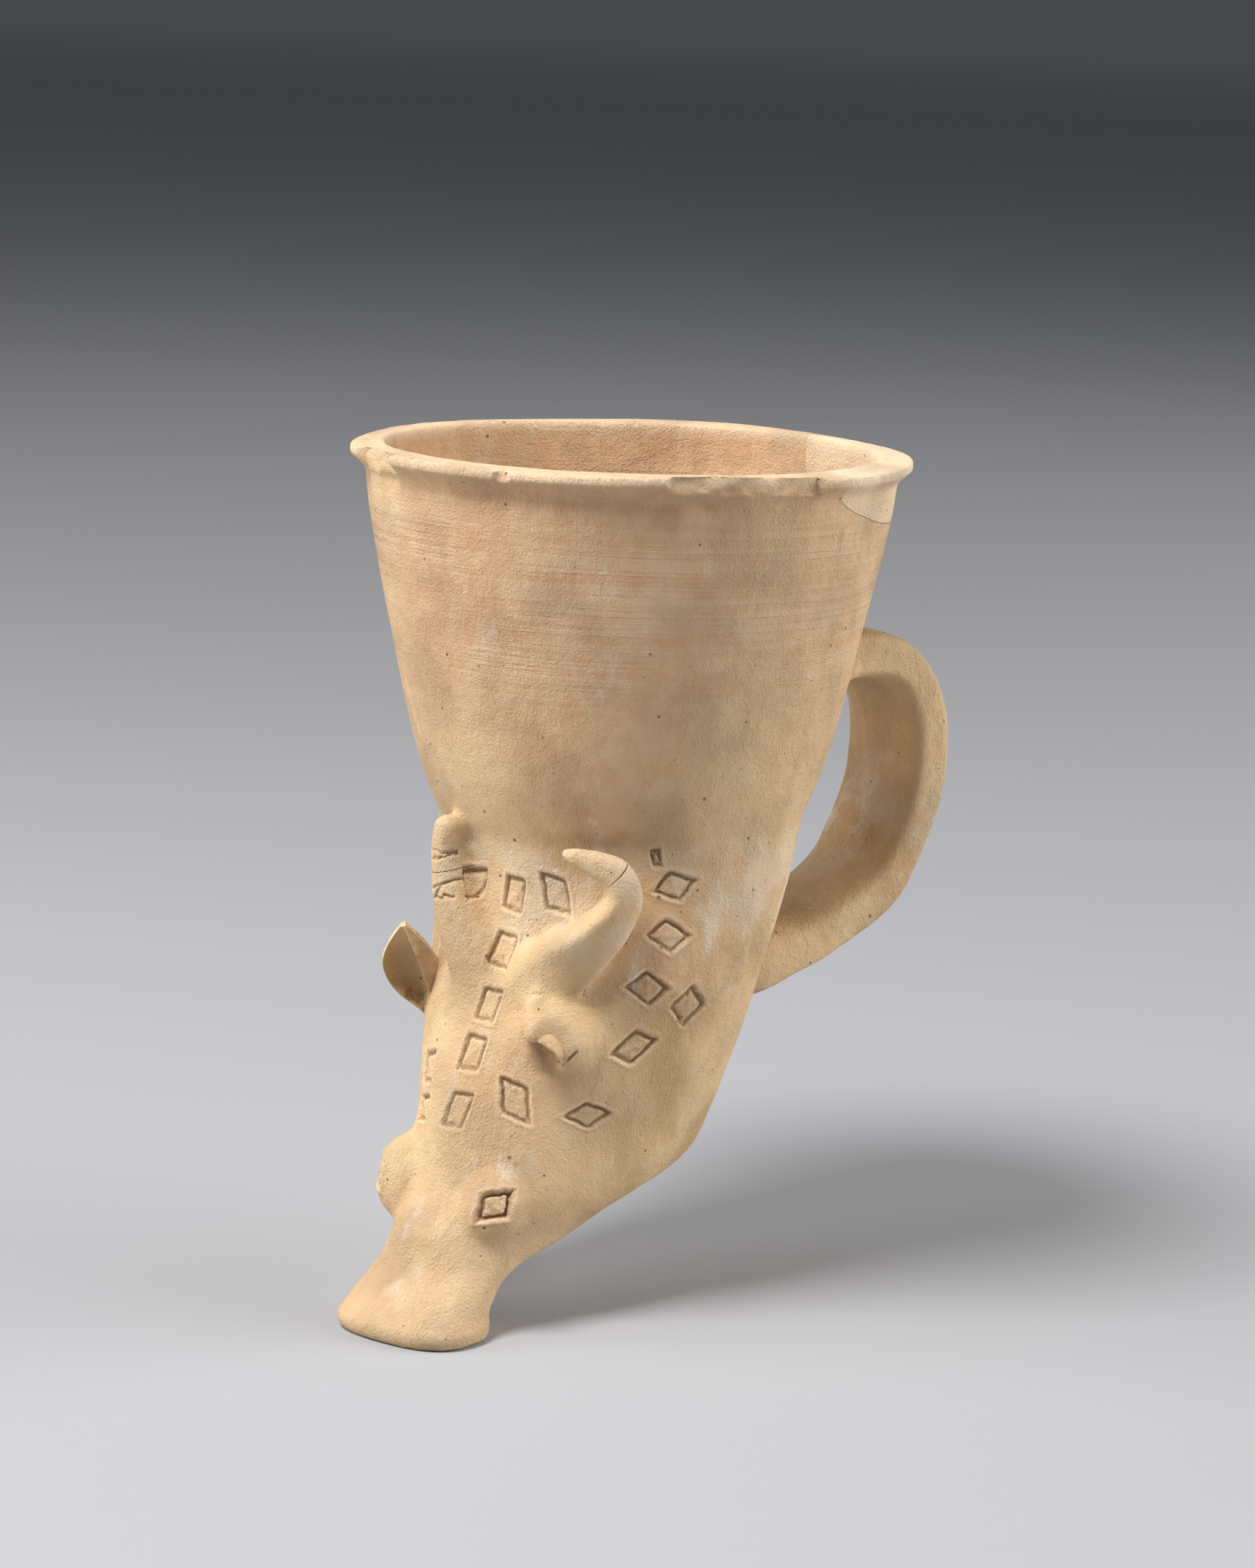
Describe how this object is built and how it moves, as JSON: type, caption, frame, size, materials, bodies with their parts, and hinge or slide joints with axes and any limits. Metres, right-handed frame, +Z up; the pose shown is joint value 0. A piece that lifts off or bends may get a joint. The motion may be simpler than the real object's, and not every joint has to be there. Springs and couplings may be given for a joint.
{
  "type": "rhyton",
  "caption": "Fired-clay drinking cup that tapers into an animal's head, with curled horns, stamped lozenges, a strap handle and a mended rim.",
  "frame": {"origin": "on the ground under the middle of the outline, with the lip of the muzzle resting on z = 0", "axes": "+Z up the wheel axis of the cup, -X the way the animal's face looks, +X the handle's side, +Y the animal's right side"},
  "size_m": [0.1797, 0.1322, 0.2005],
  "materials": {
    "buff_clay": "matte, unglazed",
    "cream_clay": "matte, unglazed"
  },
  "bodies": {
    "root": {"cup": "buff_clay", "rim_sherd": "buff_clay", "head": "buff_clay", "muzzle": "buff_clay", "handle": "buff_clay", "horn_left": "cream_clay", "horn_right": "cream_clay", "horn_tip_left": "cream_clay", "horn_tip_right": "cream_clay", "ear_left": "cream_clay", "ear_right": "cream_clay", "eye_left": "cream_clay", "eye_right": "cream_clay"}
  },
  "joints": []
}
